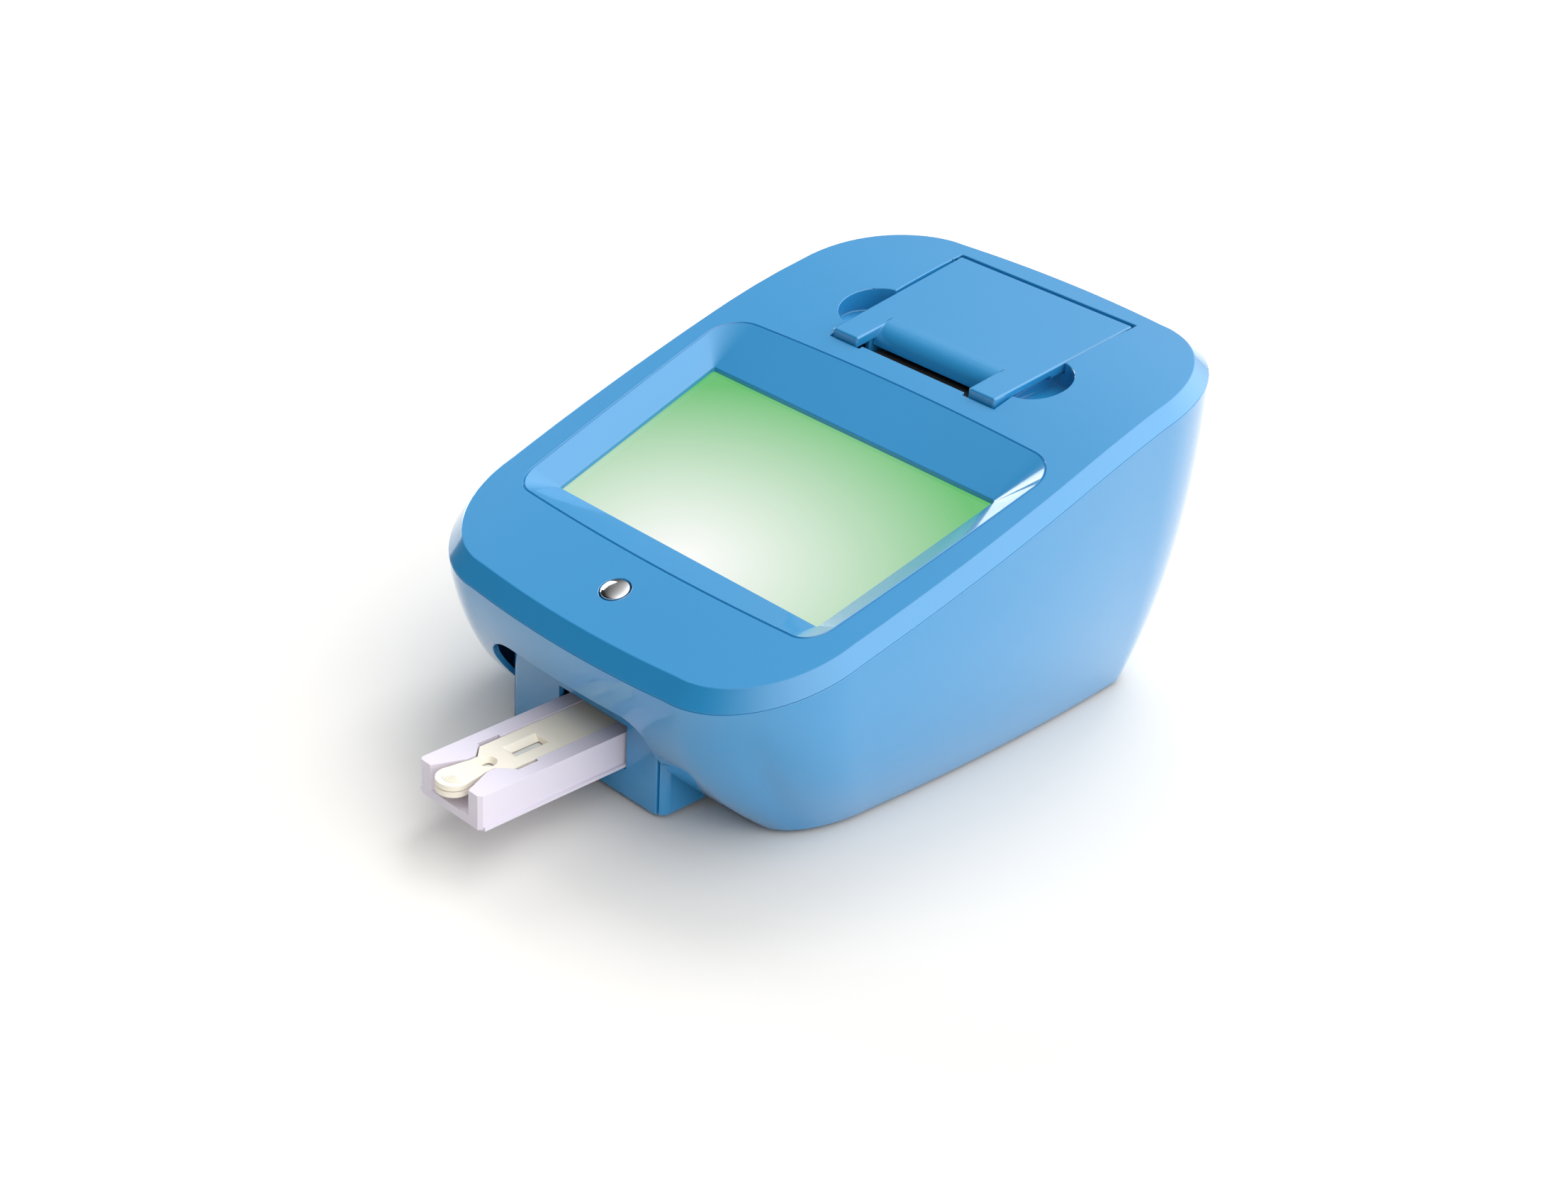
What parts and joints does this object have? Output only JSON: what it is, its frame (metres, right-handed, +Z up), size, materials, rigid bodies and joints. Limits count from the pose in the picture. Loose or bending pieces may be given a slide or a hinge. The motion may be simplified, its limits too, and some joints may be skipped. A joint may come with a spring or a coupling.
{
  "type": "fluorescence immunoassay analyzer",
  "caption": "Bench-top fluorescence immunoassay reader: lofted gloss shell, sloped touch screen, motorised cassette tray with strip cassette, lift-up printer door and roller.",
  "frame": {"origin": "middle of the bounding box in plan, on the plane that the feet stand on", "axes": "+Z up, -Y the front with the cassette tray, +X to the right of a person facing the front"},
  "size_m": [0.2002, 0.3274, 0.1348],
  "materials": {
    "blue_shell": "moulded high-gloss blue",
    "grey_tray": "moulded satin lavender grey",
    "cream_cassette": "moulded satin cream",
    "paper": "matt white paper",
    "rubber": "matt black rubber",
    "black_plastic": "moulded black",
    "steel": "plated sheet and turned steel",
    "bright_metal": "bright plated",
    "circuit_board": "green solder mask",
    "screen_glass": "polished",
    "lens_glass": "polished",
    "nylon": "natural nylon"
  },
  "bodies": {
    "housing": {"main_housing": "blue_shell", "top_cover": "blue_shell", "tray_bay_bezel": "blue_shell", "rear_panel": "blue_shell", "base_plate": "blue_shell", "foot_front_left": "rubber", "foot_front_right": "rubber", "foot_rear_left": "rubber", "foot_rear_right": "rubber", "base_screw_1": "steel", "base_screw_2": "steel", "base_screw_3": "steel", "base_screw_4": "steel", "door_hinge_pin_left": "steel", "door_hinge_pin_right": "steel", "print_mechanism": "black_plastic", "paper_bucket": "black_plastic", "touch_glass": "screen_glass", "display_module": "steel", "switch_board": "circuit_board", "tray_motor": "steel", "tray_rail_left": "black_plastic", "tray_rail_right": "black_plastic", "optics_bridge": "steel", "optical_head": "black_plastic", "objective_lens": "lens_glass", "excitation_led": "bright_metal", "detector_board": "circuit_board", "main_board": "circuit_board", "power_inlet": "black_plastic", "data_port_1": "steel", "data_port_2": "steel", "rocker_frame": "black_plastic"},
    "tray": {"cassette_tray": "grey_tray", "tray_rack": "nylon", "cassette_base": "cream_cassette", "cassette_cover": "cream_cassette", "test_strip": "paper"},
    "pinion": {"tray_pinion": "nylon"},
    "door": {"printer_door": "blue_shell"},
    "platen": {"platen_roller": "rubber"},
    "printer_gear": {"printer_drive_gear": "nylon"},
    "roll": {"paper_roll": "paper"},
    "button": {"power_button": "bright_metal"},
    "rocker": {"rocker_key": "black_plastic"}
  },
  "joints": [
    {"name": "tray_slide", "type": "slide", "parent": "housing", "child": "tray", "axis": [0, 1, 0], "range_m": [0, 0.064]},
    {"name": "pinion_spin", "type": "hinge", "parent": "housing", "child": "pinion", "pos_m": [0.004, -0.0512, 0.0146], "axis": [0, 0, 1], "range_deg": [-5, 770]},
    {"name": "door_hinge", "type": "hinge", "parent": "housing", "child": "door", "pos_m": [0, 0.1417, 0.13137], "axis": [-1, 0, 0], "range_deg": [0, 95]},
    {"name": "platen_spin", "type": "hinge", "parent": "door", "child": "platen", "pos_m": [0, 0.0794, 0.11065], "axis": [1, 0, 0], "continuous": true},
    {"name": "printer_gear_spin", "type": "hinge", "parent": "housing", "child": "printer_gear", "pos_m": [0.0357, 0.085, 0.09711], "axis": [1, 0, 0], "continuous": true},
    {"name": "roll_spin", "type": "hinge", "parent": "housing", "child": "roll", "pos_m": [0, 0.1144, 0.10325], "axis": [1, 0, 0], "continuous": true},
    {"name": "button_press", "type": "slide", "parent": "housing", "child": "button", "axis": [0, 0.281, -0.9597], "range_m": [0, 0.0012], "stiffness_N_per_m": 400},
    {"name": "rocker_tip", "type": "hinge", "parent": "housing", "child": "rocker", "pos_m": [0.029, 0.13232, 0.029], "axis": [1, 0, 0], "range_deg": [0, 14]}
  ],
  "couplings": [
    {"joint": "pinion_spin", "follows": "tray_slide", "rad_per_m": 208.33},
    {"joint": "printer_gear_spin", "follows": "platen_spin", "ratio": -0.5}
  ]
}
